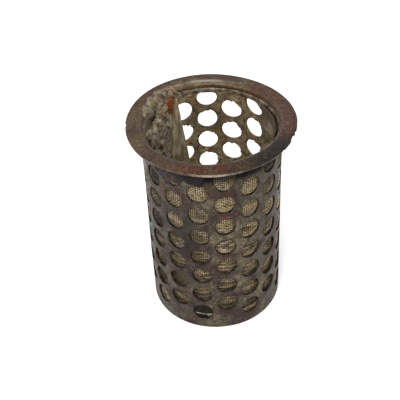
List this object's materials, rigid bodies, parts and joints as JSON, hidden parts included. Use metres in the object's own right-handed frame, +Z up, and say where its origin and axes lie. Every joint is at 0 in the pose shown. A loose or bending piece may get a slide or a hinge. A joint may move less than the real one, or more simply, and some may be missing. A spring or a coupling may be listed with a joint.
{
  "type": "basket strainer",
  "caption": "Cylindrical perforated strainer basket with a flat flanged rim, an inner lining of woven wire cloth and a perforated bottom.",
  "frame": {"origin": "centre of the basket's lower edge", "axes": "+Z up along the basket's axis, towards the rim; -Y is the front; the shell's seam is behind and to the left, at bearing 220.6 degrees from the front towards +X"},
  "size_m": [0.0518, 0.0518, 0.0695],
  "materials": {
    "rim_bronze": "oxidised brown bronze, worn bright on its edges",
    "shell_sheet": "tarnished grey-green sheet with purple-brown stains",
    "wire_cloth": "dull golden woven wire",
    "strap_sheet": "dull grey-green tinned sheet",
    "soft_solder": "lumpy dull soft solder with dirt",
    "sealant": "dried orange-red sealing compound"
  },
  "bodies": {
    "root": {"rim_flange": "rim_bronze", "rim_solder_fillet": "soft_solder", "perforated_shell": "shell_sheet", "shell_seam_solder": "soft_solder", "mesh_liner": "wire_cloth", "mesh_top_solder": "soft_solder", "mesh_seam_strap": "strap_sheet", "strap_solder": "soft_solder", "sealant_trace": "sealant", "mesh_bottom_ring": "strap_sheet", "bottom_mesh_disc": "wire_cloth", "bottom_plate": "shell_sheet", "bottom_solder_fillet": "soft_solder"}
  },
  "joints": []
}
